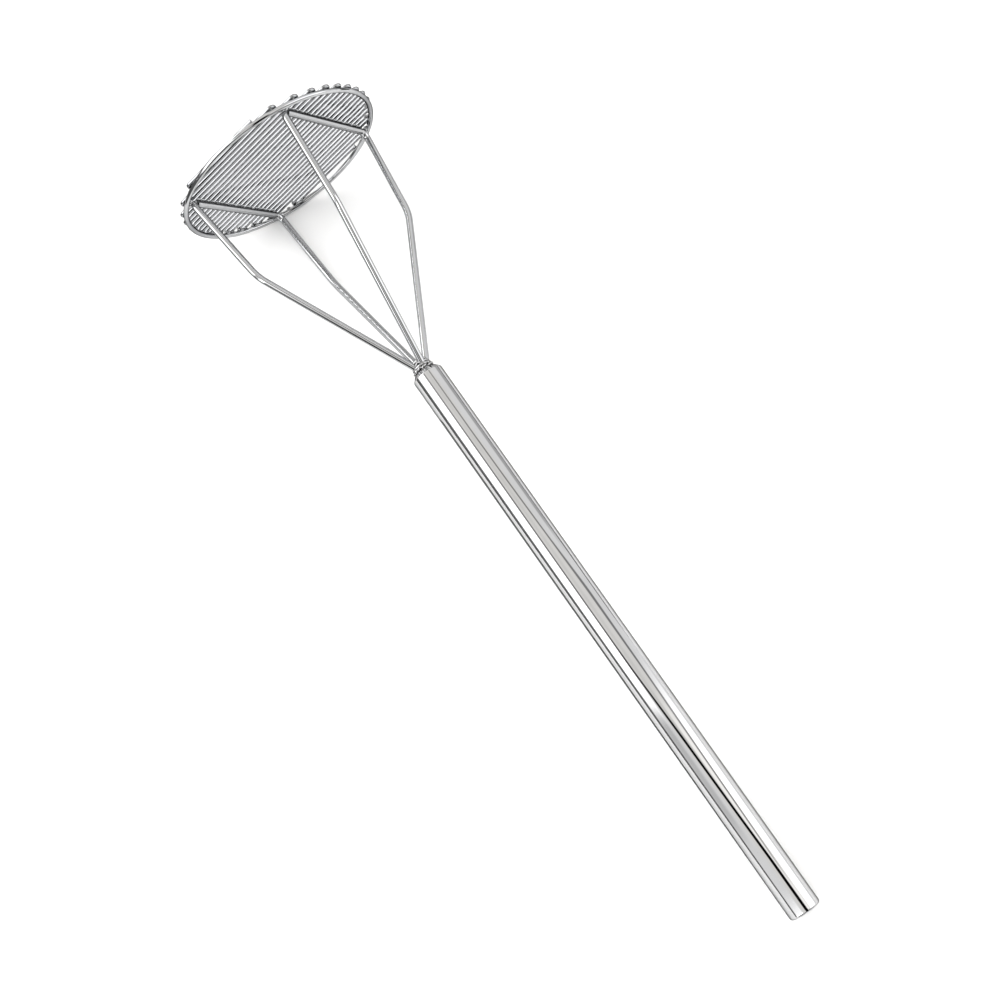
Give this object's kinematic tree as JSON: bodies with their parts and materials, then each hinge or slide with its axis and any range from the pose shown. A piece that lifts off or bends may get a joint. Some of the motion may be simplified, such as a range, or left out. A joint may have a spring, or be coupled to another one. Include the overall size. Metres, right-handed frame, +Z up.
{
  "type": "potato masher",
  "caption": "Long chromed tube handle drawn in to a neck that holds bent rod legs, which carry a round mashing face of parallel wire under a wire hoop.",
  "frame": {"origin": "under the middle of the object, on the surface it lies on", "axes": "+Z up from the surface; +X from the mashing face towards the far end of the handle; +Y across"},
  "size_m": [0.6156, 0.1548, 0.1534],
  "materials": {
    "handle_chrome": "bright polished plating",
    "cap_chrome": "bright polished plating",
    "weld_chrome": "plated over a rippled weld",
    "rod_chrome": "plated drawn rod, fine draw lines",
    "ring_chrome": "plated drawn wire",
    "grid_chrome": "plated drawn wire, worn at the loops"
  },
  "bodies": {
    "root": {"handle_tube": "handle_chrome", "handle_end_cap": "cap_chrome", "neck_weld": "weld_chrome", "leg_frame_left": "rod_chrome", "leg_frame_right": "rod_chrome", "face_ring": "ring_chrome", "mashing_grid": "grid_chrome"}
  },
  "joints": []
}
